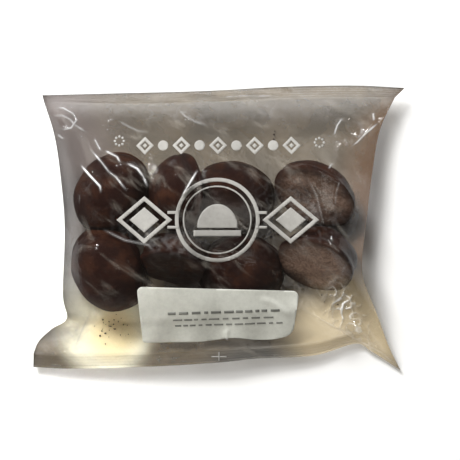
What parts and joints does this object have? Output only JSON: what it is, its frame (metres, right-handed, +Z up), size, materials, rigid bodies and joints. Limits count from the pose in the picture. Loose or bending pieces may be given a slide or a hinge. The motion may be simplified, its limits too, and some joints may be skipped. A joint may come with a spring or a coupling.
{
  "type": "clear bag of chocolate covered marshmallows",
  "caption": "Clear pillow bag lying on its back, sealed across both ends, drawn in at the waist, with two rows of dark chocolate covered marshmallow domes pressing up under its film.",
  "frame": {"origin": "on the surface that the bag lies on, under the middle of its bounding box", "axes": "+X along the two seals, to the shown side's right; +Y towards the top seal; +Z up, out of the shown side"},
  "size_m": [0.218, 0.167, 0.0442],
  "materials": {
    "clear_film": "gloss",
    "dark_chocolate": "satin",
    "white_ink": "satin"
  },
  "bodies": {
    "root": {"bag": "clear_film"}
  },
  "joints": []
}
